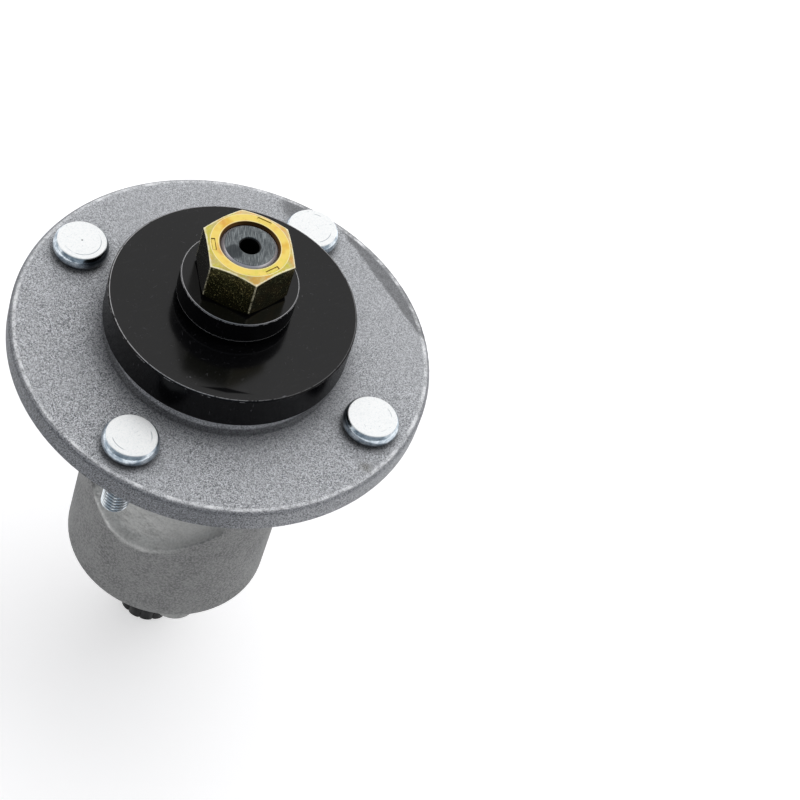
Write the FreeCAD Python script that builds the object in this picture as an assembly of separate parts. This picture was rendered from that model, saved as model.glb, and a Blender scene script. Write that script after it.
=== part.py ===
import FreeCAD, Part
import math
import os

from FreeCAD import Vector

# Mower deck spindle, blade end up. Millimetres, degrees.
# The origin is the centre of the flange's deck face, and +Z runs along the shaft to the blade nut.

# Housing casting
flange_radius = 73.0
flange_thickness = 8.8
flange_rim_round = 1.8
flange_deck_edge_round = 0.6
boss_radius = 39.7
boss_height = 5.7
boss_foot_round = 1.5
boss_edge_round = 0.8
barrel_radius = 37.0
barrel_length = 109.3
barrel_end_round = 2.2
barrel_root_round = 1.5
neck_radius = 33.5
scallop_count = 2
scallop_angle = 270.0
scallop_radius = 46.0
scallop_length = 72.0
scallop_floor_angle = 33.0
scallop_foot_round = 2.0
scallop_edge_round = 0.8
port_pad_radius = 9.0
port_pad_offset = 27.4
port_pad_height = 2.6
port_pad_angle = 309.0
port_pad_round = 0.8
bore_mouth_chamfer = 1.0
bearing_shoulder = 3.0
bearing_recess = 1.2

# Press-in studs
stud_count = 4
stud_circle_radius = 59.0
stud_head_radius = 9.8
stud_head_height = 6.0
stud_face_radius = 8.4
stud_shank_radius = 5.2
stud_thread_radius = 4.76
stud_reach = 23.0
stud_point_chamfer = 0.6

# Ball bearings
bearing_bore_radius = 12.5
bearing_outer_radius = 26.0
bearing_width = 15.0
race_corner = 0.8
race_land_offset = 2.65
ball_count = 9
ball_radius = 3.95
ball_clearance = 0.03
groove_relief = 0.1
seal_thickness = 1.4
seal_recess = 0.3
seal_seat_depth = 1.0
seal_lip_clearance = 0.06
cage_sheet = 0.8
cage_band = 2.6
cage_pocket_clearance = 0.1
rivet_radius = 0.7
rivet_head_radius = 1.1
rivet_head_height = 0.4

# Retaining ring under the pulley bearing
ring_thickness = 2.0
ring_band = 4.2
ring_setback = 3.0
ring_groove_depth = 1.5
ring_groove_play = 0.1
ring_gap_angle = 40.0
ring_lug_radius = 2.5
ring_lug_hole_radius = 1.1

# Shaft
thread_radius = 9.525
thread_chamfer = 1.1
thread_recess = 0.3
journal_setback = 0.8
centre_hole_radius = 3.36
centre_hole_depth = 12.0
collar_radius = 15.5
collar_length = 4.5
lobe_count = 12
lobe_radius = 3.2
lobe_tip_radius = 10.55
shaft_reach = 43.7
shaft_end_chamfer = 0.45
tapped_hole_radius = 3.97
tapped_hole_depth = 25.0
hole_chamfer = 0.5
drill_point_angle = 118.0

# Bearing spacer
spacer_wall = 3.0
spacer_clearance = 0.3

# Blade hub, washer and nut
hub_radius = 42.5
hub_thickness = 13.4
hub_gap = 1.2
hub_edge = 0.5
hub_collar_radius = 15.2
pilot_radius = 17.3
pilot_height = 2.5
washer_radius = 20.1
washer_thickness = 9.5
washer_top_edge = 0.4
washer_bottom_edge = 0.8
washer_clearance = 0.4
nut_sides = 6
nut_across_flats = 28.575
nut_height = 17.1
nut_chamfer_radius = 13.3
nut_chamfer_angle = 25.0
nut_corner_angle = 9.8
nut_countersink_radius = 10.3
nut_countersink_depth = 0.8
crimp_count = 3
crimp_circle_radius = 12.2
crimp_length = 4.9
crimp_width = 1.2
crimp_depth = 0.25
crimp_angle = 99.0

# Fits, as radial clearances
press_clearance = 0.01
slip_clearance = 0.03

# Heights along the shaft
flange_top = flange_thickness
boss_top = flange_top + boss_height
barrel_end = -barrel_length
blade_bearing_top = boss_top - bearing_recess
blade_bearing_bottom = blade_bearing_top - bearing_width
ring_bottom = barrel_end + ring_setback
ring_top = ring_bottom + ring_thickness
pulley_bearing_bottom = ring_top
pulley_bearing_top = pulley_bearing_bottom + bearing_width
hub_bottom = boss_top + hub_gap
hub_top = hub_bottom + hub_thickness
pilot_top = hub_top + pilot_height
washer_top = pilot_top + washer_thickness
nut_top = washer_top + nut_height
shaft_top = nut_top - thread_recess
shaft_bottom = barrel_end - shaft_reach

# Radii shared by pieces that fit together
seat_radius = bearing_outer_radius + press_clearance
relief_radius = bearing_outer_radius - bearing_shoulder
journal_radius = bearing_bore_radius - press_clearance
pitch_radius = (bearing_bore_radius + bearing_outer_radius) / 2
inner_land_radius = pitch_radius - race_land_offset
outer_land_radius = pitch_radius + race_land_offset
seal_seat_radius = outer_land_radius + seal_seat_depth
seal_depth = seal_recess + seal_thickness
groove_radius = ball_radius + groove_relief

origin = Vector(0, 0, 0)
up = Vector(0, 0, 1)
tolerance = 1e-3


def polar(radius, angle, z=0.0):
    """Point at a radius and an angle about the shaft."""
    turn = math.radians(angle)
    return Vector(radius * math.cos(turn), radius * math.sin(turn), z)


def revolve(outline):
    """Solid turned about the shaft from a closed outline of (radius, z) points."""
    points = [Vector(radius, 0, z) for radius, z in outline]
    face = Part.Face(Part.makePolygon(points + points[:1]))
    return face.revolve(origin, up, 360)


def ring(inner, outer, bottom, top):
    """Plain turned ring."""
    return revolve([(inner, bottom), (outer, bottom), (outer, top), (inner, top)])


def cylinder(radius, bottom, top, centre=origin):
    """Upright cylinder between two heights."""
    return Part.makeCylinder(radius, top - bottom, Vector(centre.x, centre.y, bottom))


def around(shape, count):
    """Copies of a shape, evenly spaced about the shaft."""
    return [shape.rotated(origin, up, 360.0 / count * index) for index in range(count)]


def circle_edges(solid, radius, z):
    """The solid's edges on one circle about the shaft."""
    found = []
    for edge in solid.Edges:
        curve = edge.Curve
        if not isinstance(curve, Part.Circle):
            continue
        offset = (curve.Center - Vector(0, 0, z)).Length
        if offset < tolerance and abs(curve.Radius - radius) < tolerance:
            found.append(edge)
    return found


def drilled_hole(radius, depth, mouth, inward):
    """Drilled hole from a mouth height, inward +1 or -1 along Z, with a chamfer and a drill point."""
    point = radius / math.tan(math.radians(drill_point_angle / 2))
    wide = radius + hole_chamfer
    return revolve([
        (0, mouth),
        (wide, mouth),
        (radius, mouth + inward * hole_chamfer),
        (radius, mouth + inward * depth),
        (0, mouth + inward * (depth + point)),
    ])


def on_cylinder(edge, radius):
    """Whether an edge lies on the upright cylinder of a radius."""
    span = edge.LastParameter - edge.FirstParameter
    points = [edge.valueAt(edge.FirstParameter + span * share) for share in (0.25, 0.5, 0.75)]
    return all(abs(math.hypot(point.x, point.y) - radius) < tolerance for point in points)


def scalloped_barrel():
    """Barrel on a narrower neck. Funnel-floored scallops give room for a socket beside two of the studs."""
    barrel = cylinder(barrel_radius, barrel_end, 0)
    barrel = barrel.makeFillet(barrel_end_round, circle_edges(barrel, barrel_radius, barrel_end))
    floor = -scallop_length
    near = stud_circle_radius - barrel_radius
    rise = math.tan(math.radians(scallop_floor_angle))
    funnel_bottom = floor - near * rise
    funnel = revolve([
        (0, funnel_bottom),
        (scallop_radius, floor + (scallop_radius - near) * rise),
        (scallop_radius, flange_top),
        (0, flange_top),
    ])
    funnel.translate(polar(stud_circle_radius, scallop_angle))
    neck = cylinder(neck_radius, funnel_bottom, 0)
    barrel = barrel.cut(around(funnel, scallop_count)).fuse(neck).removeSplitter()

    def scallop_edges(on_lip):
        """Edges of the scallops: those on the barrel's outside, or those further in."""
        found = []
        for edge in barrel.Edges:
            box = edge.BoundBox
            inside = funnel_bottom < box.ZMin < -tolerance
            if inside and on_cylinder(edge, barrel_radius) == on_lip:
                found.append(edge)
        return found

    barrel = barrel.makeFillet(scallop_foot_round, scallop_edges(False))
    return barrel.makeFillet(scallop_edge_round, scallop_edges(True))


def spindle_housing():
    """One casting: flange, bearing boss and barrel, bored right through for two bearings."""
    pad_bottom = barrel_end - port_pad_height
    pad = cylinder(port_pad_radius, pad_bottom, pulley_bearing_bottom, polar(port_pad_offset, port_pad_angle))
    pad = pad.makeFillet(port_pad_round, [edge for edge in pad.Edges if edge.BoundBox.ZMax < barrel_end])
    flange = cylinder(flange_radius, 0, flange_top)
    boss = cylinder(boss_radius, 0, boss_top)
    body = scalloped_barrel().fuse([flange, boss, pad]).removeSplitter()

    roots = []
    for edge in body.Edges:
        box = edge.BoundBox
        in_deck_plane = abs(box.ZMin) < tolerance and abs(box.ZMax) < tolerance
        if in_deck_plane and box.XLength < 2 * flange_radius - tolerance:
            roots.append(edge)
    body = body.makeFillet(barrel_root_round, roots)
    body = body.makeFillet(boss_foot_round, circle_edges(body, boss_radius, flange_top))
    body = body.makeFillet(boss_edge_round, circle_edges(body, boss_radius, boss_top))
    body = body.makeFillet(flange_rim_round, circle_edges(body, flange_radius, flange_top))
    body = body.makeFillet(flange_deck_edge_round, circle_edges(body, flange_radius, 0))

    mouth_radius = seat_radius + bore_mouth_chamfer
    groove_wall = seat_radius + ring_groove_depth
    bore = revolve([
        (0, boss_top),
        (mouth_radius, boss_top),
        (seat_radius, boss_top - bore_mouth_chamfer),
        (seat_radius, blade_bearing_bottom),
        (relief_radius, blade_bearing_bottom),
        (relief_radius, pulley_bearing_top),
        (seat_radius, pulley_bearing_top),
        (seat_radius, ring_top),
        (groove_wall, ring_top),
        (groove_wall, ring_bottom - ring_groove_play),
        (seat_radius, ring_bottom - ring_groove_play),
        (seat_radius, barrel_end + bore_mouth_chamfer),
        (mouth_radius, barrel_end),
        (mouth_radius, pad_bottom),
        (0, pad_bottom),
    ])
    hole = cylinder(stud_shank_radius + press_clearance, 0, flange_top, Vector(stud_circle_radius, 0, 0))
    return body.cut([bore] + around(hole, stud_count))


def flange_stud():
    """Press-in stud: flat round head with a bulged side, shank in the flange and thread to the deck."""
    head_top = flange_top + stud_head_height
    face_edge = Vector(stud_face_radius, 0, head_top)
    bulge = Vector(stud_head_radius, 0, flange_top + stud_head_height / 2)
    foot = Vector(stud_face_radius, 0, flange_top)
    stem = [
        foot,
        Vector(stud_shank_radius, 0, flange_top),
        Vector(stud_shank_radius, 0, 0),
        Vector(stud_thread_radius, 0, 0),
        Vector(stud_thread_radius, 0, stud_point_chamfer - stud_reach),
        Vector(stud_thread_radius - stud_point_chamfer, 0, -stud_reach),
        Vector(0, 0, -stud_reach),
        Vector(0, 0, head_top),
        face_edge,
    ]
    side = Part.Arc(face_edge, bulge, foot).toShape()
    section = Part.Face(Part.Wire([side] + Part.makePolygon(stem).Edges))
    stud = section.revolve(origin, up, 360)
    stud.translate(Vector(stud_circle_radius, 0, 0))
    return stud


def lobed_section(bottom, top):
    """Round-lobed drive section: each lobe is one arc, and neighbours meet in a cusp."""
    half_pitch = 180.0 / lobe_count
    lobe_centre = lobe_tip_radius - lobe_radius
    sideways = lobe_centre * math.sin(math.radians(half_pitch))
    cusp_radius = lobe_centre * math.cos(math.radians(half_pitch))
    cusp_radius += math.sqrt(lobe_radius ** 2 - sideways ** 2)
    arcs = []
    for index in range(lobe_count):
        middle = 2 * half_pitch * index
        start = polar(cusp_radius, middle - half_pitch, bottom)
        tip = polar(lobe_tip_radius, middle, bottom)
        end = polar(cusp_radius, middle + half_pitch, bottom)
        arcs.append(Part.Arc(start, tip, end).toShape())
    section = Part.Face(Part.Wire(arcs))
    return section.extrude(Vector(0, 0, top - bottom))


def spindle_shaft():
    """Shaft: threaded blade end, journal for both bearings, collar, lobed pulley end with a tapped hole."""
    journal_top = blade_bearing_top - journal_setback
    collar_bottom = pulley_bearing_bottom - collar_length
    turned = revolve([
        (0, shaft_top),
        (thread_radius - thread_chamfer, shaft_top),
        (thread_radius, shaft_top - thread_chamfer),
        (thread_radius, journal_top),
        (journal_radius, journal_top),
        (journal_radius, pulley_bearing_bottom),
        (collar_radius, pulley_bearing_bottom),
        (collar_radius, collar_bottom),
        (0, collar_bottom),
    ])
    end_blank = revolve([
        (0, collar_bottom),
        (lobe_tip_radius + shaft_end_chamfer, collar_bottom),
        (lobe_tip_radius + shaft_end_chamfer, shaft_bottom + 2 * shaft_end_chamfer),
        (lobe_tip_radius - shaft_end_chamfer, shaft_bottom),
        (0, shaft_bottom),
    ])
    pulley_end = lobed_section(shaft_bottom, collar_bottom).common(end_blank)
    centre_hole = drilled_hole(centre_hole_radius, centre_hole_depth, shaft_top, -1)
    tapped_hole = drilled_hole(tapped_hole_radius, tapped_hole_depth, shaft_bottom, 1)
    return turned.fuse(pulley_end).cut([centre_hole, tapped_hole])


def bearing_spacer():
    """Tube that holds the two inner races apart."""
    bore = bearing_bore_radius + spacer_clearance
    outer = bore + spacer_wall
    return ring(bore, outer, pulley_bearing_top, blade_bearing_bottom)


def retaining_ring():
    """Internal ring, open at one side, with an eyed lug at each end."""
    outer = seat_radius + ring_groove_depth - ring_groove_play
    inner = outer - ring_band
    band = ring(inner, outer, ring_bottom, ring_top)
    far = 2 * outer
    corners = [
        Vector(0, 0, ring_bottom),
        polar(far, -ring_gap_angle / 2, ring_bottom),
        polar(far, ring_gap_angle / 2, ring_bottom),
    ]
    wedge = Part.Face(Part.makePolygon(corners + corners[:1])).extrude(Vector(0, 0, ring_thickness))
    lug_angle = ring_gap_angle / 2 + math.degrees(ring_lug_radius / inner)
    lugs = []
    eyes = []
    for side in (-1, 1):
        centre = polar(inner, side * lug_angle)
        lugs.append(cylinder(ring_lug_radius, ring_bottom, ring_top, centre))
        eyes.append(cylinder(ring_lug_hole_radius, ring_bottom, ring_top, centre))
    return band.cut(wedge).fuse(lugs).cut(eyes).removeSplitter()


def groove(centre_radius):
    """Ball track to cut into a race, round in section."""
    return Part.makeTorus(centre_radius, groove_radius)


def outer_race():
    """Outer race about its own middle, with a step for a seal at each face."""
    half = bearing_width / 2
    seat = half - seal_depth
    race = revolve([
        (outer_land_radius, -seat),
        (seal_seat_radius, -seat),
        (seal_seat_radius, -half),
        (bearing_outer_radius - race_corner, -half),
        (bearing_outer_radius, -half + race_corner),
        (bearing_outer_radius, half - race_corner),
        (bearing_outer_radius - race_corner, half),
        (seal_seat_radius, half),
        (seal_seat_radius, seat),
        (outer_land_radius, seat),
    ])
    return race.cut(groove(pitch_radius + ball_radius + ball_clearance - groove_radius))


def inner_race():
    """Inner race about its own middle."""
    half = bearing_width / 2
    race = revolve([
        (bearing_bore_radius, -half + race_corner),
        (bearing_bore_radius + race_corner, -half),
        (inner_land_radius, -half),
        (inner_land_radius, half),
        (bearing_bore_radius + race_corner, half),
        (bearing_bore_radius, half - race_corner),
    ])
    return race.cut(groove(pitch_radius - ball_radius - ball_clearance + groove_radius))


def balls(radius):
    """Ring of balls, as separate solids."""
    return around(Part.makeSphere(radius, Vector(pitch_radius, 0, 0)), ball_count)


def cage_half():
    """Upper half of the pressed cage: flat lands joined by a cup over each ball."""
    pocket = ball_radius + cage_pocket_clearance
    cup = pocket + cage_sheet
    inner = pitch_radius - cage_band / 2
    outer = pitch_radius + cage_band / 2
    blank = ring(inner, outer, 0, cup)
    lands = ring(inner, outer, 0, cage_sheet)
    pressed = lands.fuse(blank.common(Part.makeCompound(balls(cup)))).cut(balls(pocket))
    return pressed.removeSplitter().cut(rivet_holes())


def rivet_places():
    """Middle of each land between two balls."""
    step = 360.0 / ball_count
    return [polar(pitch_radius, step * (index + 0.5)) for index in range(ball_count)]


def rivet_holes():
    """Holes through both cage lands."""
    radius = rivet_radius + press_clearance
    return [cylinder(radius, -cage_sheet, cage_sheet, place) for place in rivet_places()]


def cage_rivets():
    """Headed rivets that hold the cage halves together."""
    reach = cage_sheet + rivet_head_height
    rivet = revolve([
        (0, -reach),
        (rivet_head_radius, -reach),
        (rivet_head_radius, -cage_sheet),
        (rivet_radius, -cage_sheet),
        (rivet_radius, cage_sheet),
        (rivet_head_radius, cage_sheet),
        (rivet_head_radius, reach),
        (0, reach),
    ])
    return [rivet.translated(place) for place in rivet_places()]


def seal():
    """Upper seal: a disc held in the outer race, its lip just clear of the inner race."""
    top = bearing_width / 2 - seal_recess
    inner = inner_land_radius + seal_lip_clearance
    outer = seal_seat_radius - press_clearance
    return ring(inner, outer, top - seal_thickness, top)


def turned_over(shape):
    """The same piece, facing the other way along the shaft."""
    return shape.rotated(origin, Vector(1, 0, 0), 180)


def ball_bearing():
    """The pieces of one sealed bearing about its own middle, by name."""
    return {
        "outer_race": outer_race(),
        "inner_race": inner_race(),
        "balls": Part.makeCompound(balls(ball_radius)),
        "cage_upper": cage_half(),
        "cage_lower": turned_over(cage_half()),
        "cage_rivets": Part.makeCompound(cage_rivets()),
        "seal_upper": seal(),
        "seal_lower": turned_over(seal()),
    }


def blade_hub():
    """Turned disc that the blade seats on: pilot above, and a collar down to the bearing's inner race."""
    bore = thread_radius + slip_clearance
    return revolve([
        (bore, blade_bearing_top),
        (hub_collar_radius, blade_bearing_top),
        (hub_collar_radius, hub_bottom),
        (hub_radius - hub_edge, hub_bottom),
        (hub_radius, hub_bottom + hub_edge),
        (hub_radius, hub_top - hub_edge),
        (hub_radius - hub_edge, hub_top),
        (pilot_radius, hub_top),
        (pilot_radius, pilot_top - hub_edge),
        (pilot_radius - hub_edge, pilot_top),
        (bore, pilot_top),
    ])


def blade_washer():
    """Thick flat washer between the hub's pilot and the nut."""
    bore = thread_radius + washer_clearance
    return revolve([
        (bore, pilot_top),
        (washer_radius - washer_bottom_edge, pilot_top),
        (washer_radius, pilot_top + washer_bottom_edge),
        (washer_radius, washer_top - washer_top_edge),
        (washer_radius - washer_top_edge, washer_top),
        (bore, washer_top),
    ])


def lock_nut():
    """Hex nut, chamfered at both ends, with three crimp marks that lock its thread."""
    corner_radius = nut_across_flats / 2 / math.cos(math.pi / nut_sides)
    step = 360.0 / nut_sides
    corners = [polar(corner_radius, nut_corner_angle + step * index, washer_top) for index in range(nut_sides)]
    hexagon = Part.Face(Part.makePolygon(corners + corners[:1])).extrude(Vector(0, 0, nut_height))
    drop = (corner_radius - nut_chamfer_radius) * math.tan(math.radians(nut_chamfer_angle))
    bore = thread_radius + press_clearance
    blank = revolve([
        (bore, washer_top),
        (nut_chamfer_radius, washer_top),
        (corner_radius, washer_top + drop),
        (corner_radius, nut_top - drop),
        (nut_chamfer_radius, nut_top),
        (nut_countersink_radius, nut_top),
        (bore, nut_top - nut_countersink_depth),
    ])
    mark = Part.makeBox(
        crimp_width,
        crimp_length,
        crimp_depth,
        Vector(crimp_circle_radius - crimp_width / 2, -crimp_length / 2, nut_top - crimp_depth),
    )
    marks = [piece.rotated(origin, up, crimp_angle) for piece in around(mark, crimp_count)]
    return hexagon.common(blank).cut(marks)


nodes = {
    "spindle_housing": spindle_housing(),
    "flange_studs": Part.makeCompound(around(flange_stud(), stud_count)),
    "spindle_shaft": spindle_shaft(),
    "bearing_spacer": bearing_spacer(),
    "retaining_ring": retaining_ring(),
    "blade_hub": blade_hub(),
    "blade_washer": blade_washer(),
    "lock_nut": lock_nut(),
}
bearing_middles = {
    "blade_bearing": (blade_bearing_top + blade_bearing_bottom) / 2,
    "pulley_bearing": (pulley_bearing_top + pulley_bearing_bottom) / 2,
}
for bearing, middle in bearing_middles.items():
    for piece, shape in ball_bearing().items():
        nodes[bearing + "_" + piece] = shape.translated(Vector(0, 0, middle))

os.makedirs("parts", exist_ok=True)
for name, shape in nodes.items():
    shape.exportStep("parts/" + name + ".step")
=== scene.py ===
import math

import bpy
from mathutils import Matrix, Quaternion, Vector


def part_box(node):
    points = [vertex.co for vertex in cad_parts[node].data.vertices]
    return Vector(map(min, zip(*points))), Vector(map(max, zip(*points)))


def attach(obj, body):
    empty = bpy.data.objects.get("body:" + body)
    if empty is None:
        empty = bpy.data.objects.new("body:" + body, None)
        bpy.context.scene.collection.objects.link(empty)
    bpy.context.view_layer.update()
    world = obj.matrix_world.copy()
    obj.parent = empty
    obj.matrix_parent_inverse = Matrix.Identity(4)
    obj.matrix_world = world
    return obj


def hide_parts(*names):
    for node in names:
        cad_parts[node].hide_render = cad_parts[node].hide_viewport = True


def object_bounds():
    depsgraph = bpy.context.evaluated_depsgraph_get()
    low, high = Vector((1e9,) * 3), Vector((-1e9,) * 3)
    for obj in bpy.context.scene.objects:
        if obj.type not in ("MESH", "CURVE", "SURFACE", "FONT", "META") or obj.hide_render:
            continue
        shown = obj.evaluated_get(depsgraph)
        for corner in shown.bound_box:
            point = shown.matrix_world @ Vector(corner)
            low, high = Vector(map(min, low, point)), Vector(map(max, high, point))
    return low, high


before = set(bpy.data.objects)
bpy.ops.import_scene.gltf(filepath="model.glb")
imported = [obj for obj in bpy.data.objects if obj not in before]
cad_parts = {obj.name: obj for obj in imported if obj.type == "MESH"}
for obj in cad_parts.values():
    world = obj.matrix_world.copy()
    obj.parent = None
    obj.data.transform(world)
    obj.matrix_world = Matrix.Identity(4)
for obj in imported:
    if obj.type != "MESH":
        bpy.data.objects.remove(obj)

cad_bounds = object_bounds()

# Spindle housing. One aluminium die casting: round flange, bearing boss and a barrel scalloped on two sides.
# It is shot blasted to an even grey grain. The flange's rim is rubbed by handling and painted with a
# highlight, one side of the flange is darker up to a straight line, and the scallops keep a lighter, smoother
# casting skin that is partly painted light. Shade is painted round the hub, the boss and the studs and on the
# rim, and light on the boss's wall.


class Wire:
    """An output socket of a shader. Sums written with it add Math nodes."""

    def __init__(self, shader, socket):
        self.shader = shader
        self.socket = socket

    def maths(self, operation, *values):
        return self.shader.node("Math", {"operation": operation}, dict(enumerate(values)))

    def __add__(self, other):
        return self.maths("ADD", self, other)

    def __sub__(self, other):
        return self.maths("SUBTRACT", self, other)

    def __rsub__(self, other):
        return self.maths("SUBTRACT", other, self)

    def __mul__(self, other):
        return self.maths("MULTIPLY", self, other)

    def __abs__(self):
        return self.maths("ABSOLUTE", self)

    def at_least(self, other):
        return self.maths("MAXIMUM", self, other)

    def at_most(self, other):
        return self.maths("MINIMUM", self, other)

    __radd__ = __add__
    __rmul__ = __mul__


class Shader:
    """The node tree of a material or a world, with its one main shader node."""

    def __init__(self, owner):
        owner.use_nodes = True
        self.owner = owner
        self.tree = owner.node_tree
        self.main = next(n for n in self.tree.nodes if n.type in ("BSDF_PRINCIPLED", "BACKGROUND"))

    def node(self, kind, settings=None, sockets=None, output=0):
        made = self.tree.nodes.new("ShaderNode" + kind)
        for name, value in (settings or {}).items():
            setattr(made, name, value)
        self.feed(made, sockets or {})
        return Wire(self, made.outputs[output])

    def feed(self, node, sockets):
        for name, value in sockets.items():
            if isinstance(value, Wire):
                self.tree.links.new(value.socket, node.inputs[name])
            else:
                node.inputs[name].default_value = value

    def place(self):
        return self.node("TexCoord", output="Object")

    def part(self, vector, name):
        """X, Y or Z of a vector."""
        return self.node("SeparateXYZ", sockets={0: vector}, output=name)

    def axis(self, name):
        return self.part(self.place(), name)

    def reach(self, vector, way):
        """How far a vector reaches in a direction."""
        return self.node("VectorMath", {"operation": "DOT_PRODUCT"}, {0: vector, 1: way}, "Value")

    def spin(self, vector, degrees):
        """A vector turned about the shaft's direction."""
        turn = {"Vector": vector, "Angle": math.radians(degrees)}
        return self.node("VectorRotate", {"rotation_type": "Z_AXIS"}, turn)

    def turned(self, degrees, stretch):
        """Position, turned about the shaft's direction and then stretched."""
        point = self.spin(self.place(), degrees)
        return self.node("VectorMath", {"operation": "MULTIPLY"}, {0: point, 1: stretch})

    def distance(self, x=0.0, y=0.0):
        """Distance from an upright line."""
        flat = self.node("VectorMath", {"operation": "MULTIPLY"}, {0: self.place(), 1: (1, 1, 0)})
        apart = {0: flat, 1: (x, y, 0)}
        return self.node("VectorMath", {"operation": "DISTANCE"}, apart, "Value")

    def noise(self, scale, detail=2.0, roughness=0.5, point=None):
        sockets = {"Vector": point or self.place(), "Scale": scale, "Detail": detail, "Roughness": roughness}
        return self.node("TexNoise", sockets=sockets, output="Fac")

    def step(self, value, low, high):
        """0 up to low, 1 from high, smooth between them; it falls where low is over high."""
        sockets = {"Value": value, "From Min": low, "From Max": high}
        return self.node("MapRange", {"interpolation_type": "SMOOTHSTEP"}, sockets)

    def line(self, value, middle, half, soft):
        """1 within half of a middle value, fading over soft."""
        return self.step(abs(value - middle), half + soft, half)

    def mix(self, mask, under, over):
        return self.node("Mix", {"data_type": "RGBA"}, {0: mask, 6: under, 7: over}, 2)

    def bump(self, height, distance, strength=1.0):
        return self.node("Bump", sockets={"Height": height, "Distance": distance, "Strength": strength})

    def cover(self, *nodes):
        for name in nodes:
            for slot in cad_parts[name].material_slots:
                slot.material = self.owner


def paint(red, green, blue):
    """Linear colour from display values of 0 to 255."""
    return (*(((value / 255 + 0.055) / 1.055) ** 2.4 for value in (red, green, blue)), 1.0)


flange_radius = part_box("spindle_housing")[1].x
flange_top = 0.0088
boss_radius = 0.0397
barrel_radius = 0.037
barrel_end = -0.1093
bore_wall = 0.030
scallop_floor = -0.074
scallop_lip_depth = 0.0743
scallop_lip_curve = 22.5
stud_circle = 0.059
head_radius = 0.0098
dark_band_angle = math.radians(63)
dark_band_start = 0.0652
dark_spot = (-0.0092, 0.0704)
stain_spot = (0.0666, -0.0153)


def from_stud(shader):
    """Distance from the axis of the nearest of the four studs."""
    across = abs(shader.axis("X"))
    along = abs(shader.axis("Y"))
    outward = across.at_least(along) - stud_circle
    apart = shader.node("CombineXYZ", sockets={0: outward, 1: across.at_most(along)})
    return shader.node("VectorMath", {"operation": "LENGTH"}, {0: apart}, "Value")


casting = Shader(bpy.data.materials.new("blasted cast aluminium"))
height = casting.axis("Z")
out = casting.distance()
on_flange = casting.step(height, -0.0006, 0.0004)

cells = casting.node("TexVoronoi", sockets={"Vector": casting.place(), "Scale": 4300}, output="Color")
cells = casting.node("SeparateColor", sockets={0: cells}, output="Red")
grain = casting.step(cells * 0.8 + casting.noise(3600, 1) * 0.2, 0.15, 0.85)
evenly = casting.step(casting.axis("Y"), -0.02, 0.05)
grain = grain * (1 - evenly * 0.36) + evenly * 0.19
clouds = casting.step(casting.noise(34, 4, 0.6), 0.35, 0.68)
blasted = casting.mix(grain, paint(94, 96, 100), paint(231, 233, 237))
blasted = casting.mix(clouds * 0.22, blasted, paint(186, 188, 192))

# Darker beyond a straight line across one side of the flange, and in one round spot.
to_band = casting.reach(casting.place(), (math.cos(dark_band_angle), math.sin(dark_band_angle), 0))
to_band = to_band + (casting.noise(160, 4, 0.7) - 0.5) * 0.003
darker = casting.step(to_band, dark_band_start, dark_band_start + 0.0012)
darker = darker + casting.step(casting.distance(*dark_spot), 0.010, 0.006)
darker = darker * (0.7 + casting.noise(900, 3) * 0.3)
blasted = casting.mix(darker.at_most(1.0) * 0.8, blasted, paint(92, 93, 95))

# Painted light: the boss's short wall under the hub's edge is coloured as a lit strip.
lit_boss_wall = casting.step(out, boss_radius + 0.0005, boss_radius + 0.0002)
lit_boss_wall = lit_boss_wall * casting.step(height, flange_top + 0.0010, flange_top + 0.0018)
# Painted shade on the flange round the boss, under and in front of the overhanging hub.
dark_tone = casting.step(out, boss_radius + 0.010, boss_radius + 0.001) * (1 - lit_boss_wall)
blasted = casting.mix(dark_tone * 0.5, blasted, paint(72, 73, 77))
# Painted shadow: a dark line where the boss meets the flange.
boss_foot_shadow = casting.line(out, boss_radius + 0.0008, 0.0004, 0.0010)
boss_foot_shadow = boss_foot_shadow * casting.step(height, flange_top + 0.0020, flange_top + 0.0008)
blasted = casting.mix(boss_foot_shadow * 0.55, blasted, paint(40, 42, 46))
blasted = casting.mix(lit_boss_wall * 0.12, blasted, paint(236, 239, 244))
# Painted shadow on the flange round the base of each stud head.
stud_contact_shadow = casting.step(from_stud(casting), head_radius + 0.0018, head_radius - 0.0010)
stud_contact_shadow = stud_contact_shadow * casting.step(height, flange_top - 0.0004, flange_top - 0.0001)
blasted = casting.mix(stud_contact_shadow * 0.55, blasted, paint(44, 46, 50))
stain = casting.step(casting.distance(*stain_spot) + casting.noise(700, 4, 0.7) * 0.004, 0.0052, 0.0022)
blasted = casting.mix(stain * 0.5, blasted, paint(98, 94, 78))

# Painted shade: the rim's side is coloured darker, less toward +X where it is lit, with painted glints as
# bright specks.
shaded = casting.step(casting.axis("X"), 0.060, 0.036)
side = casting.step(out, flange_radius - 0.0007, flange_radius - 0.0002)
shaded_side_grain = casting.mix(grain, paint(34, 37, 42), paint(116, 121, 128))
painted_glints = casting.step(casting.noise(2000, 2, 0.6), 0.62, 0.70)
shaded_side_grain = casting.mix(painted_glints * 0.5, shaded_side_grain, paint(226, 230, 236))
blasted = casting.mix(side * (0.2 + shaded * 0.52), blasted, shaded_side_grain)
rim = casting.step(height, flange_top - 0.0022, flange_top - 0.0014)
# Painted shade: a dark line on the rounded edge between the flange's top and its side.
rounding_shade = casting.line(out, flange_radius - 0.0007, 0.0002, 0.0006) * rim
blasted = casting.mix(rounding_shade * 0.45, blasted, paint(76, 79, 85))
# Painted highlight along the rim's top edge, with wear from handling, broken up by noise; it is also
# smoother.
rubbed = casting.line(out, flange_radius - 0.0017, 0.0003, 0.0006) * rim
rubbed = rubbed * (0.1 + casting.step(casting.noise(110, 6, 0.85), 0.42, 0.64) * 0.9)
blasted = casting.mix(rubbed * 0.9, blasted, paint(252, 253, 255))

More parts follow.
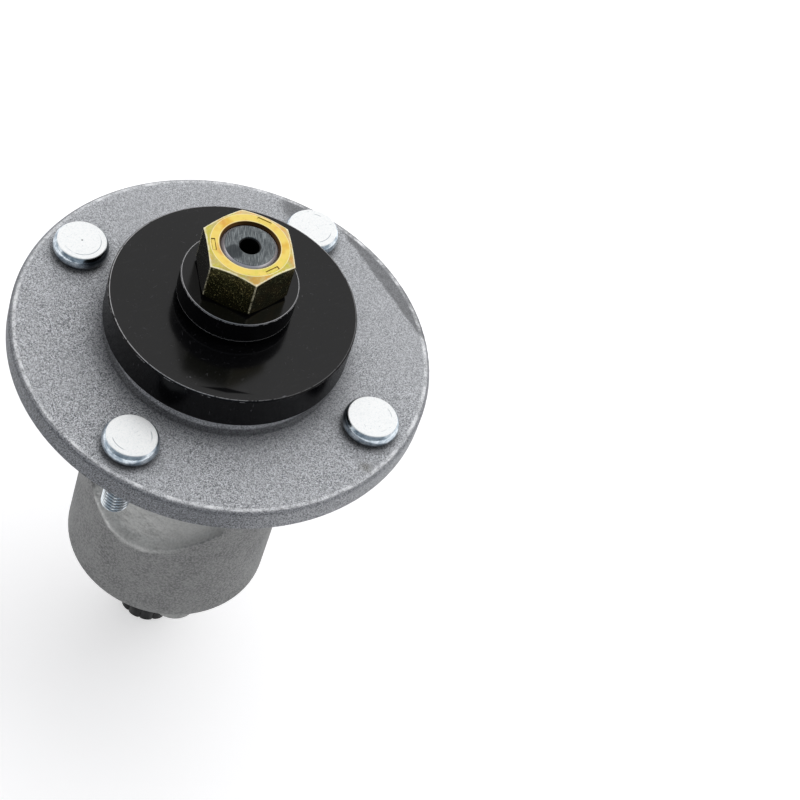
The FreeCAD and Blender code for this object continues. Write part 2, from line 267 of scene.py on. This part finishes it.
mottle = casting.step(casting.noise(90, 5, 0.65), 0.32, 0.70)
skin = casting.mix(mottle, paint(110, 111, 111), paint(140, 141, 140))
sand = casting.step(casting.noise(1300, 2, 0.6), 0.30, 0.70)
skin = casting.mix(sand * 0.7, skin, paint(180, 180, 179))
# Painted highlight along the barrel's rounded end, broken up by noise.
end_edge_highlight = casting.step(height, barrel_end + 0.0017, barrel_end + 0.0003)
end_edge_highlight = end_edge_highlight * casting.step(casting.noise(120, 3), 0.35, 0.6)
skin = casting.mix(end_edge_highlight * 0.35, skin, paint(196, 196, 194))

# The scallops are coloured lighter: partly a smoother, lighter casting skin and partly painted light against
# the shade under the flange. In front the lighter patch follows a curve below the lip onto the barrel.
across = casting.axis("X")
front = casting.step(casting.axis("Y"), 0.004, -0.004)
on_barrel = casting.step(out, bore_wall - 0.001, bore_wall) * (1 - on_flange)
above_lip = height + scallop_lip_depth - across * across * scallop_lip_curve
above_lip = above_lip + (casting.noise(170, 4, 0.7) - 0.5) * 0.003
skin_and_painted_light = casting.step(above_lip, -0.0008, 0.0014) * front
skin_and_painted_light = skin_and_painted_light * casting.step(across, -0.0208, -0.0190) * casting.step(across, 0.026, 0.002)
hollow = casting.step(out, barrel_radius - 0.0001, barrel_radius - 0.0022)
hollow = hollow * casting.step(height, scallop_floor, scallop_floor + 0.002)
hollow = hollow * (1 - front * casting.step(across, -0.013, -0.005))
in_scallop = skin_and_painted_light.at_least(hollow) * on_barrel
smooth = casting.step(casting.noise(1, 4, 0.7, casting.turned(0, (160, 160, 420))), 0.30, 0.62)
skin = casting.mix(in_scallop * (0.28 + smooth * 0.40 + sand * 0.2), skin, paint(220, 221, 218))
# Scuffs along the scallop's front lip and up its left wall, with a painted highlight there.
lip = casting.line(above_lip, 0.0014, 0.0006, 0.0020) * casting.step(across, 0.004, -0.006)
lip = lip + casting.step(across, -0.0150, -0.0175)
scuffs_and_lip_highlight = lip * front * in_scallop * (0.02 + casting.step(casting.noise(190, 5, 0.75), 0.48, 0.64) * 0.5)
skin = casting.mix(scuffs_and_lip_highlight, skin, paint(252, 252, 250))
# Painted light on the scallop's right wall, lifting the shade there.
lit_right_wall = casting.step(out, barrel_radius - 0.0001, barrel_radius - 0.0012) * front * on_barrel
lit_right_wall = lit_right_wall * casting.step(across, 0.004, 0.020)
skin = casting.mix(lit_right_wall * 0.4, skin, paint(214, 215, 212))

casting.feed(casting.main, {
    "Base Color": casting.mix(on_flange, skin, blasted),
    "Metallic": 0.22,
    "Roughness": 0.74 - on_flange * 0.16 - rubbed * 0.28 - in_scallop * 0.04,
    "Normal": casting.bump(grain * on_flange + sand * (1 - on_flange) * 0.6 + mottle * 0.5, 0.00012, 0.7),
})
casting.cover("spindle_housing")

# Flange studs. Four steel studs pressed through the flange, with round, bulged heads on the blade side and
# threads to the deck side. They are bright zinc plated; pressing left a faint ring and scuffs on the heads.
head_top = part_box("flange_studs")[1].z
stud_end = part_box("flange_studs")[0].z
thread_radius = 0.00476
thread_pitch = 0.0254 / 16
thread_depth = 0.61 * thread_pitch
face_radius = 0.0084
pressed_ring_radius = 0.0066
shank_radius = 0.0052
end_bevel = 0.0006
stud_steps = 64


def arc(middle, radius, start, end, count):
    """Points of a round in a turned outline, as (radius, height)."""
    angles = [math.radians(start + (end - start) * index / count) for index in range(count + 1)]
    return [(middle[0] + radius * math.cos(a), middle[1] + radius * math.sin(a)) for a in angles]


def stud_ring(radius, height, cut):
    """One ring of points of a stud; cut is the share of the thread's depth that is cut there."""
    points = []
    for index in range(stud_steps):
        share = index / stud_steps
        wave = abs(2 * ((height / thread_pitch + share) % 1) - 1)
        depth = min(max((wave - 0.12) / 0.70, 0), 1) * thread_depth * cut
        angle = 2 * math.pi * share
        points.append(((radius - depth) * math.cos(angle), (radius - depth) * math.sin(angle), height))
    return points


half_height = (head_top - flange_top) / 2
swell = head_radius - face_radius
side_radius = (half_height ** 2 + swell ** 2) / (2 * swell)
side_angle = math.degrees(math.asin(half_height / side_radius))
outline = [(0.002, head_top), (0.006, head_top)]
side_middle = (head_radius - side_radius, flange_top + half_height)
outline += arc(side_middle, side_radius, side_angle, -side_angle, 14)
outline += [(shank_radius, flange_top), (shank_radius, 0.0)]
stud_rings = [stud_ring(radius, height, 0) for radius, height in outline]
thread_rows = round(8 * -stud_end / thread_pitch)
for row in range(thread_rows + 1):
    drop = row / thread_rows
    level = stud_end * drop
    tip = min(1, (level - stud_end) / end_bevel)
    stud_rings.append(stud_ring(thread_radius - end_bevel * (1 - tip), level, min(1, drop * 8) * tip))

stud_points = []
stud_faces = []
for turn in range(4):
    centre = Vector((stud_circle, 0, 0))
    centre.rotate(Quaternion((0, 0, 1), turn * math.pi / 2))
    first = len(stud_points)
    stud_points += [Vector(point) + centre for ring in stud_rings for point in ring]
    for row in range(len(stud_rings) - 1):
        for index in range(stud_steps):
            a = first + row * stud_steps + index
            b = first + row * stud_steps + (index + 1) % stud_steps
            stud_faces.append((a, a + stud_steps, b + stud_steps, b))
    last = first + (len(stud_rings) - 1) * stud_steps
    stud_faces.append(range(first, first + stud_steps))
    stud_faces.append(range(last + stud_steps - 1, last - 1, -1))
stud_mesh = bpy.data.meshes.new("pressed_studs")
stud_mesh.from_pydata(stud_points, [], stud_faces)
stud_mesh.shade_smooth()
stud_mesh.set_sharp_from_angle(angle=math.radians(40))

zinc = Shader(bpy.data.materials.new("bright zinc plate"))
height = zinc.axis("Z")
from_axis = from_stud(zinc)
on_top = zinc.step(height, head_top - 0.0003, head_top - 0.0001)
patches = zinc.step(zinc.noise(260, 4, 0.7), 0.5, 0.8)
pressed_ring = zinc.line(from_axis, pressed_ring_radius, 0.00006, 0.00016)
pressed_ring = pressed_ring * zinc.step(zinc.noise(105, 3), 0.50, 0.58)
scuff_a = zinc.step(zinc.noise(1, 2, 0.5, zinc.turned(25, (2600, 420, 400))), 0.66, 0.76)
scuff_b = zinc.step(zinc.noise(1, 2, 0.5, zinc.turned(-50, (2400, 360, 400))), 0.67, 0.77)
specks = zinc.step(zinc.noise(900, 3, 0.6), 0.66, 0.74)
marks = pressed_ring * 0.8 + scuff_a * 0.5 + scuff_b * 0.45 + specks * 0.4 + patches * 0.1
marks = (marks * on_top).at_most(1.0)
centre_dot = zinc.step(zinc.distance(-stud_circle, 0), 0.00036, 0.0002) * on_top
plate = zinc.mix(zinc.step(zinc.noise(2400, 3, 0.6), 0.36, 0.56), paint(244, 247, 248), paint(254, 255, 255))
streaks = zinc.step(zinc.noise(1, 3, 0.6, zinc.turned(0, (320, 320, 420))), 0.34, 0.66)
side = zinc.mix(streaks, paint(142, 156, 168), paint(222, 230, 236))
side = zinc.mix(zinc.step(height, 0.0, -0.0005), side, paint(232, 239, 244))
# Painted shade: the heads' sides are coloured darker toward the flange.
foot_shade = zinc.step(height, flange_top + 0.0037, flange_top + 0.0017)
# Painted reflection: the sides that face the black hub are coloured dark as its reflection.
hub_reflection = zinc.step(zinc.distance(), stud_circle - 0.0040, stud_circle - 0.0076)
dark = (foot_shade * 0.84).at_least(hub_reflection * 0.90) * zinc.step(height, 0.001, 0.004)
side = zinc.mix(dark, side, paint(24, 30, 35))
# Painted shade in the grooves of the thread.
root_shade = zinc.step(from_axis, thread_radius - 0.0002, thread_radius - 0.0006) * zinc.step(height, 0.0, -0.0005)
side = zinc.mix(root_shade * 0.75, side, paint(52, 57, 62))
plate = zinc.mix(on_top, side, plate)
plate = zinc.mix(marks, plate, paint(168, 176, 182))
plate = zinc.mix(centre_dot, plate, paint(40, 42, 44))
zinc.feed(zinc.main, {
    "Base Color": plate,
    "Metallic": 1 - on_top * 0.3,
    "Roughness": 0.13 + zinc.noise(300, 3) * 0.12 + marks * 0.1 + on_top * 0.2,
    "Normal": zinc.bump(zinc.noise(420, 3) - pressed_ring * 0.5, 0.00004, 0.5),
})
zinc.cover("flange_studs")
stud_mesh.materials.append(zinc.owner)
studs = bpy.data.objects.new("pressed_studs", stud_mesh)
bpy.context.scene.collection.objects.link(studs)
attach(studs, "housing")
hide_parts("flange_studs")

# Ball bearings. Two sealed deep-groove bearings of hardened ground steel, one at each end of the bore, with
# polished balls in a cage of two pressed strip halves riveted together, and a rubber seal at each face.
seal_groove_radius = 0.0196


def tool_lines(shader, scale, roughness):
    """Fine rings that turning or grinding about the shaft's axis leaves."""
    rings = {0: shader.distance() * scale, 1: shader.axis("Z") * scale}
    return shader.noise(1, 2, roughness, shader.node("CombineXYZ", sockets=rings))


ground = Shader(bpy.data.materials.new("ground bearing steel"))
rings = tool_lines(ground, 9000, 0.6)
tarnish = ground.step(ground.noise(120, 4), 0.4, 0.75)
ground.feed(ground.main, {
    "Base Color": ground.mix(tarnish * 0.5, paint(196, 198, 202), paint(150, 148, 144)),
    "Metallic": 1.0,
    "Roughness": 0.18 + rings * 0.16,
    "Normal": ground.bump(rings, 0.00001, 0.5),
})
polished = Shader(bpy.data.materials.new("polished ball steel"))
polished.feed(polished.main, {
    "Base Color": polished.mix(polished.noise(400, 3), paint(205, 208, 212), paint(222, 224, 226)),
    "Metallic": 1.0,
    "Roughness": 0.05 + polished.noise(600, 3) * 0.06,
})
strip = Shader(bpy.data.materials.new("pressed cage strip"))
rolled = strip.noise(1, 3, 0.6, strip.turned(0, (300, 300, 4000)))
strip.feed(strip.main, {
    "Base Color": strip.mix(rolled, paint(150, 150, 148), paint(188, 188, 186)),
    "Metallic": 1.0,
    "Roughness": 0.28 + rolled * 0.2,
    "Normal": strip.bump(rolled, 0.00002, 0.4),
})
rubber = Shader(bpy.data.materials.new("seal rubber"))
moulding = rubber.noise(700, 4, 0.65)
bands = rubber.line(rubber.distance(), seal_groove_radius, 0.0002, 0.0002)
rubber.feed(rubber.main, {
    "Base Color": rubber.mix(moulding, paint(22, 22, 23), paint(40, 39, 38)),
    "Roughness": 0.5 + moulding * 0.2,
    "Normal": rubber.bump(moulding * 0.3 - bands, 0.0001, 0.6),
})
for bearing in ("blade_bearing_", "pulley_bearing_"):
    ground.cover(bearing + "outer_race", bearing + "inner_race")
    polished.cover(bearing + "balls")
    strip.cover(bearing + "cage_upper", bearing + "cage_lower", bearing + "cage_rivets")
    rubber.cover(bearing + "seal_upper", bearing + "seal_lower")

# Bearing spacer and retaining ring. The spacer is a drawn steel tube between the inner races. The ring is
# stamped from spring steel, browned dark, and snaps into a groove under the pulley bearing.
tube = Shader(bpy.data.materials.new("drawn steel tube"))
drawn = tube.noise(1, 3, 0.6, tube.turned(0, (2500, 2500, 60)))
tube.feed(tube.main, {
    "Base Color": tube.mix(drawn, paint(120, 121, 123), paint(158, 159, 161)),
    "Metallic": 1.0,
    "Roughness": 0.3 + drawn * 0.2,
    "Normal": tube.bump(drawn, 0.00002, 0.4),
})
tube.cover("bearing_spacer")
spring = Shader(bpy.data.materials.new("browned spring steel"))
browning = spring.step(spring.noise(200, 4, 0.6), 0.3, 0.75)
spring.feed(spring.main, {
    "Base Color": spring.mix(browning, paint(34, 33, 34), paint(66, 60, 56)),
    "Metallic": 0.9,
    "Roughness": 0.34 + browning * 0.2,
    "Normal": spring.bump(spring.noise(900, 2), 0.00003, 0.4),
})
spring.cover("retaining_ring")

# Shaft. Turned from steel bar: threaded at the blade end, lobed at the pulley end. The end face in the nut is
# faced and filed, with crossing marks and a bare bevel; the pulley end is blackened.
shaft_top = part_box("spindle_shaft")[1].z
shaft_thread_radius = 0.009525
dark_patch_spot = (-0.0026, -0.0054)
steel = Shader(bpy.data.materials.new("turned and blackened steel"))
height = steel.axis("Z")
out = steel.distance()
face = steel.step(height, shaft_top - 0.0002, shaft_top - 0.0001)
bevel = steel.step(out, shaft_thread_radius - 0.0012, shaft_thread_radius - 0.0010)
bevel = bevel * steel.step(height, shaft_top - 0.003, shaft_top - 0.0022)
turned_lines = tool_lines(steel, 7000, 0.5)
filed_a = steel.noise(1, 2, 0.6, steel.turned(-30, (8200, 300, 100)))
filed_b = steel.noise(1, 2, 0.6, steel.turned(40, (7400, 260, 100)))
where_filed = steel.step(steel.noise(170, 2), 0.46, 0.62)
filing = steel.step(filed_a, 0.46, 0.70) + steel.step(filed_b, 0.54, 0.74) * where_filed * 0.6
filing = filing.at_most(1.0)
dark_patch = steel.step(steel.distance(*dark_patch_spot) + steel.noise(600, 3) * 0.003, 0.0052, 0.0034)
end_face = steel.mix(filing * (1 - dark_patch * 0.7), paint(84, 89, 92), paint(164, 170, 172))
end_face = steel.mix(dark_patch * 0.55, end_face, paint(36, 40, 44))
bare = steel.mix(turned_lines, paint(186, 183, 188), paint(238, 235, 240))
black = steel.mix(steel.step(steel.noise(150, 4), 0.35, 0.7), paint(30, 31, 32), paint(50, 50, 51))
body = steel.mix(bevel, black, bare)
steel.feed(steel.main, {
    "Base Color": steel.mix(face, body, end_face),
    "Metallic": 0.95 - bevel * 0.35,
    "Roughness": 0.34 + turned_lines * 0.14 - bevel * 0.12,
    "Normal": steel.bump(face * filing + (1 - face) * turned_lines, 0.00002, 0.5),
})
steel.cover("spindle_shaft")

# Blade hub. A steel disc turned from bar: a flat seat that the blade is clamped to, a low pilot and a collar
# down to the bearing. It has a thin glossy black coat, scratched and rubbed through to steel along the edges.
hub_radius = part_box("blade_hub")[1].x
pilot_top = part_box("blade_hub")[1].z
pilot_height = 0.0025
hub_top = pilot_top - pilot_height


def stroke(shader, x, y, degrees, length, width):
    """A short straight mark on a level face."""
    from_centre = shader.node("VectorMath", {"operation": "SUBTRACT"}, {0: shader.place(), 1: (x, y, 0)})
    local = shader.spin(from_centre, -degrees)
    along = abs(shader.part(local, "X")) * (width / length)
    across = abs(shader.part(local, "Y"))
    return shader.step(along + across, width / 2, width / 4)


def black_coat(name, rims, nicks, side_radius, right_rubbed, smear=None):
    """Thin black coat on steel, duller on the side.

    A rubbed rim has a radius, a height, a width and a share; right_rubbed is what the right shows of that.
    """
    coat = Shader(bpy.data.materials.new(name))
    height = coat.axis("Z")
    out = coat.distance()
    chips = coat.noise(380, 5, 0.75)
    on_left = coat.step(coat.axis("X"), side_radius * 0.85, side_radius * 0.3)
    handled = right_rubbed + on_left * (1 - right_rubbed)
    worn = 0
    for radius, level, width, share in rims:
        rim = coat.line(out, radius, width / 2, 0.00006) * coat.line(height, level, width / 2, 0.00006)
        worn = rim * coat.step(chips, 0.7 - share * 0.4, 0.8 - share * 0.4) * handled + worn
    scratches = 0
    for degrees, stretch in ((12, (2200, 210, 300)), (-38, (2400, 240, 300)), (74, (2300, 190, 300))):
        scratches = coat.step(coat.noise(1, 1, 0.5, coat.turned(degrees, stretch)), 0.775, 0.82) + scratches
    for nick in nicks:
        scratches = stroke(coat, *nick) * 2.0 + scratches
    rubs = coat.step(coat.noise(1, 3, 0.6, coat.turned(31, (1500, 160, 300))), 0.56, 0.80)
    dust = coat.step(coat.noise(1500, 2), 0.66, 0.78)
    haze = coat.noise(48, 4, 0.6)
    dark_tone = coat.mix(haze, paint(4, 4, 5), paint(12, 12, 14))
    dark_tone = coat.mix(scratches * 0.2 + dust * 0.1 + rubs * 0.04, dark_tone, paint(126, 126, 132))
    gloss = 1 - coat.step(out, side_radius - 0.0005, side_radius - 0.0002) * 0.6
    if smear:
        gloss = gloss * (1 - stroke(coat, *smear) * 0.9)
    coat.feed(coat.main, {
        "Base Color": coat.mix(worn, dark_tone, paint(158, 157, 159)),
        "Metallic": worn,
        "Roughness": 0.3 + haze * 0.12 + worn * 0.1,
        "Specular IOR Level": 0.0,
        "Coat Weight": gloss,
        "Coat Roughness": 0.15,
        "Coat IOR": 1.395,
        "Normal": coat.bump(coat.noise(240, 3) * 0.5 - scratches * 0.2, 0.00002, 0.5),
    })
    return coat


hub_edge = 0.0005
hub_rims = [
    (hub_radius - hub_edge, hub_top, 0.00022, 0.8),
    (hub_radius, hub_top - hub_edge, 0.00010, 0.45),
]
hub_nicks = [
    (-0.0253, 0.0164, 70, 0.0012, 0.0003),
    (0.0169, 0.0173, -60, 0.0014, 0.0003),
    (0.0183, 0.0122, -35, 0.0016, 0.0003),
    (0.0344, -0.0236, 56, 0.0026, 0.0008),
    (0.0059, -0.0371, 10, 0.0012, 0.0005),
    (0.0051, -0.0378, 80, 0.0007, 0.0003),
    (0.0089, -0.0383, 20, 0.0006, 0.0003),
    (-0.0008, -0.0335, 50, 0.0008, 0.0002),
]
hub_smear = (0.0181, -0.0340, 29, 0.0220, 0.0026)
hub_coat = black_coat("black coated hub", hub_rims, hub_nicks, hub_radius, 0.2, hub_smear)
hub_coat.cover("blade_hub")

# Blade washer. A thick plain steel washer between the blade and the nut, blackened like the hub, with both of
# its rims rubbed bright.
washer_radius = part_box("blade_washer")[1].x
washer_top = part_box("blade_washer")[1].z
washer_rims = [
    (washer_radius - 0.0003, washer_top - 0.0001, 0.00016, 1.2),
    (washer_radius, washer_top - 0.0004, 0.0001, 0.7),
    (washer_radius, pilot_top + 0.0010, 0.0003, 1.1),
]
washer_coat = black_coat("black coated washer", washer_rims, [], washer_radius, 0.9)
washer_coat.cover("blade_washer")

# Lock nut. A forged hex nut, yellow zinc plated with a passivate that shines from gold to green and orange.
# Three crimp marks on its top squeeze the thread; its corners are rubbed pale.
nut_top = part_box("lock_nut")[1].z
nut_chamfer_radius = 0.0133
nut_chamfer_angle = 25
crimp_circle = 0.0122
crimp_half = (0.0006, 0.00245)
crimp_depths = {99: 0.35, 219: 1.0, 339: 1.0}
nut_corner_angle = 9.8
nut_flat = 0.028575 / 2
nut_bore_edge = 0.0104
front_flat_ends = (-0.0058, 0.0105)

gold = Shader(bpy.data.materials.new("yellow zinc plate"))
height = gold.axis("Z")
out = gold.distance()
on_face = gold.step(height, nut_top - 0.0004, nut_top - 0.0003)
hue = gold.noise(95, 3, 0.6)
passivate = gold.mix(gold.step(hue, 0.36, 0.52), paint(232, 186, 82), paint(246, 220, 120))
passivate = gold.mix(gold.step(hue, 0.54, 0.68) * 0.8, passivate, paint(222, 214, 96))
passivate = gold.mix(gold.step(gold.noise(160, 3), 0.58, 0.76) * 0.7, passivate, paint(226, 160, 92))
blotches = gold.step(gold.noise(420, 4, 0.7), 0.58, 0.74)
passivate = gold.mix(blotches * 0.3, passivate, paint(160, 132, 76))

past_chamfer = out - nut_chamfer_radius
cone = past_chamfer.at_least(0.0) * math.tan(math.radians(nut_chamfer_angle))
below_cone = nut_top - cone - height
on_chamfer = gold.step(past_chamfer, 0.0, 0.0003)
dulled = gold.mix(gold.step(gold.noise(110, 2), 0.42, 0.58), paint(214, 160, 84), paint(196, 190, 66))
dulled = gold.mix(gold.step(gold.noise(300, 4, 0.7), 0.46, 0.62) * 0.7, dulled, paint(186, 176, 126))
dulled = gold.mix(gold.step(gold.noise(720, 5, 0.8), 0.46, 0.58) * 0.5, dulled, paint(216, 206, 164))
dulled = gold.mix(blotches * 0.8, dulled, paint(128, 108, 56))
passivate = gold.mix(on_chamfer * 0.85, passivate, dulled)
flat_specks = gold.step(gold.noise(1400, 4, 0.8), 0.52, 0.72)
# Painted shade: the hex sides are coloured a dark olive, much darker than the plated top, with pale specks
# and scratches.
shaded_flats = gold.mix(gold.step(gold.noise(210, 3), 0.35, 0.65), paint(92, 94, 56), paint(122, 108, 64))
flat_scratches = gold.step(gold.noise(1, 2, 0.6, gold.turned(20, (500, 500, 5200))), 0.66, 0.74)
front_side = gold.step(gold.axis("Y"), 0.002, -0.002)
past_corner = gold.step(gold.axis("X"), front_flat_ends[0] + 0.0004, front_flat_ends[0] - 0.0004)
# Painted light: the front hex side is coloured lighter and shows more specks.
lit_front_flat = gold.step(gold.axis("X"), front_flat_ends[1] + 0.0003, front_flat_ends[1] - 0.0003)
lit_front_flat = (1 - past_corner) * lit_front_flat * front_side
shaded_flats = gold.mix(flat_specks * (0.3 + lit_front_flat * 0.25) + flat_scratches * 0.3, shaded_flats, paint(186, 188, 150))
shaded_flats = gold.mix(lit_front_flat * 0.4, shaded_flats, paint(158, 152, 98))
# Painted shade: the hex side left of the front one is coloured near black.
left_flat_shade = past_corner * front_side
shaded_flats = gold.mix(left_flat_shade * 0.85, shaded_flats, paint(36, 33, 20))
on_flats = gold.step(below_cone, 0.0001, 0.0003) * on_chamfer
passivate = gold.mix(on_flats, passivate, shaded_flats)
# Painted shade: the bore inside its edge is coloured dark brown.
bore_shade = gold.step(out, nut_bore_edge, nut_bore_edge - 0.0002)
passivate = gold.mix(bore_shade, passivate, paint(70, 48, 26))

outlines = 0
for angle, depth in crimp_depths.items():
    local = gold.spin(gold.place(), -angle)
    across = abs(gold.part(local, "X") - crimp_circle) - crimp_half[0]
    along = abs(gold.part(local, "Y")) - crimp_half[1]
    outlines = gold.line(across.at_least(along), 0.0, 0.00006, 0.00008) * depth + outlines
outlines = outlines * on_face * gold.step(gold.noise(330, 2), 0.28, 0.44)
passivate = gold.mix(outlines * 0.9, passivate, paint(116, 72, 26))

to_flat = 0
corner = 0
past_flats = gold.step(out, nut_flat + 0.0012, nut_flat + 0.0018)
for index in range(3):
    corner_turn = -nut_corner_angle - 60 * index
    offset = abs(gold.part(gold.spin(gold.place(), corner_turn), "Y"))
    corner = gold.step(offset, 0.00042, 0.0002) * past_flats + corner
    to_flat = abs(gold.part(gold.spin(gold.place(), corner_turn - 30), "X")).at_least(to_flat)
to_flat = to_flat + (gold.noise(420, 3) - 0.5) * 0.0008
# Painted highlights: thin bright lines along the hex's top edges and around the chamfer's and the bore's
# edges.
upper_edge_highlight = gold.step(to_flat, nut_flat - 0.0006, nut_flat - 0.0002) * (1 - on_flats)
ring_highlights = gold.line(out, nut_chamfer_radius, 0.00006, 0.00010)
ring_highlights = ring_highlights + gold.line(out, nut_bore_edge + 0.0001, 0.00008, 0.00008)
corner = corner * gold.step(gold.axis("X"), 0.014, 0.012) * gold.step(gold.noise(420, 5, 0.75), 0.34, 0.56)
# The rubbed corners and these painted highlights are mixed in together as worn.
worn = corner + upper_edge_highlight * gold.step(gold.noise(500, 4, 0.7), 0.30, 0.52) + ring_highlights * on_face * 0.7
worn = worn.at_most(1.0) * 0.85
passivate = gold.mix(worn, passivate, paint(248, 241, 208))
gold.feed(gold.main, {
    "Base Color": passivate,
    "Metallic": 1 - worn * 0.5,
    "Roughness": 0.26 + hue * 0.12 + blotches * 0.1 - on_flats * (0.16 - flat_specks * 0.2),
    "Normal": gold.bump(gold.noise(700, 3) + flat_specks * on_flats * 0.6, 0.00004, 0.5),
})
gold.cover("lock_nut")

# Studio. A pale floor under the shaft's end, white surroundings that are dimmer on the camera's side, and one
# large soft lamp behind the object.
floor_level = cad_bounds[0][2]
white = (1, 1, 1, 1)
room_shade = (0.26, 0.30, 0.34, 1)
even_light = (0.45, 0.45, 0.46, 1)
bpy.ops.mesh.primitive_plane_add(size=12, location=(0, 0, floor_level))
floor = bpy.context.object
floor.name = "floor"
paper = Shader(bpy.data.materials.new("white paper"))
glow = paper.mix(paper.step(paper.distance(), 0.4, 2.0), (0.5, 0.5, 0.5, 1), white)
paper.feed(paper.main, {
    "Base Color": paint(225, 225, 226),
    "Roughness": 0.9,
    "Emission Color": glow,
    "Emission Strength": 1.0,
})
fibre = paper.mix(paper.noise(300, 3), paint(214, 214, 215), paint(222, 222, 223))
bounce = paper.node("BsdfDiffuse", sockets={"Color": fibre})
seen = paper.node("LightPath", output="Is Camera Ray") + paper.node("LightPath", output="Is Glossy Ray")
seen = seen + paper.node("LightPath", output="Is Transmission Ray")
paper_main = Wire(paper, paper.main.outputs[0])
paper_mix = paper.node("MixShader", sockets={0: seen, 1: bounce, 2: paper_main})
paper.tree.links.new(paper_mix.socket, paper.tree.nodes["Material Output"].inputs["Surface"])
floor.data.materials.append(paper.owner)

world = bpy.data.worlds.new("studio")
bpy.context.scene.world = world
surroundings = Shader(world)
camera_ray = surroundings.node("LightPath", output="Is Camera Ray")
glossy_ray = surroundings.node("LightPath", output="Is Glossy Ray")
clear_ray = surroundings.node("LightPath", output="Is Transmission Ray")
direction = surroundings.node("TexCoord", output="Generated")
room_side = (0.31, -0.89, 0.34)
toward_room = surroundings.step(surroundings.reach(direction, room_side), 0.35, 0.75)
room = surroundings.mix(toward_room, white, room_shade)
seen_by_object = surroundings.mix(glossy_ray + clear_ray, even_light, room)
surroundings.feed(surroundings.main, {"Color": surroundings.mix(camera_ray, seen_by_object, white)})

lamp_data = bpy.data.lights.new("soft lamp", "AREA")
lamp_data.shape = "RECTANGLE"
lamp_data.size = 2.4
lamp_data.size_y = 2.4
lamp_data.energy = 23.5
lamp = bpy.data.objects.new("soft lamp", lamp_data)
lamp.location = (0.10, 0.85, 1.47)
lamp.visible_glossy = False
lamp.rotation_euler = (-lamp.location).to_track_quat("-Z", "Y").to_euler()
bpy.context.scene.collection.objects.link(lamp)

camera_data = bpy.data.cameras.new("camera")
camera_data.lens = 122.075
camera_data.sensor_width = 36
camera_data.clip_end = 50
camera = bpy.data.objects.new("camera", camera_data)
forward = Vector((-0.147218, 0.628013, -0.764151))
camera.location = (0.198294, -0.565562, 0.717899)
camera.rotation_mode = "QUATERNION"
camera.rotation_quaternion = forward.to_track_quat("-Z", "Y") @ Quaternion((0, 0, 1), math.radians(21.022))
bpy.context.scene.collection.objects.link(camera)
bpy.context.scene.camera = camera
bpy.context.scene.view_settings.view_transform = "Standard"
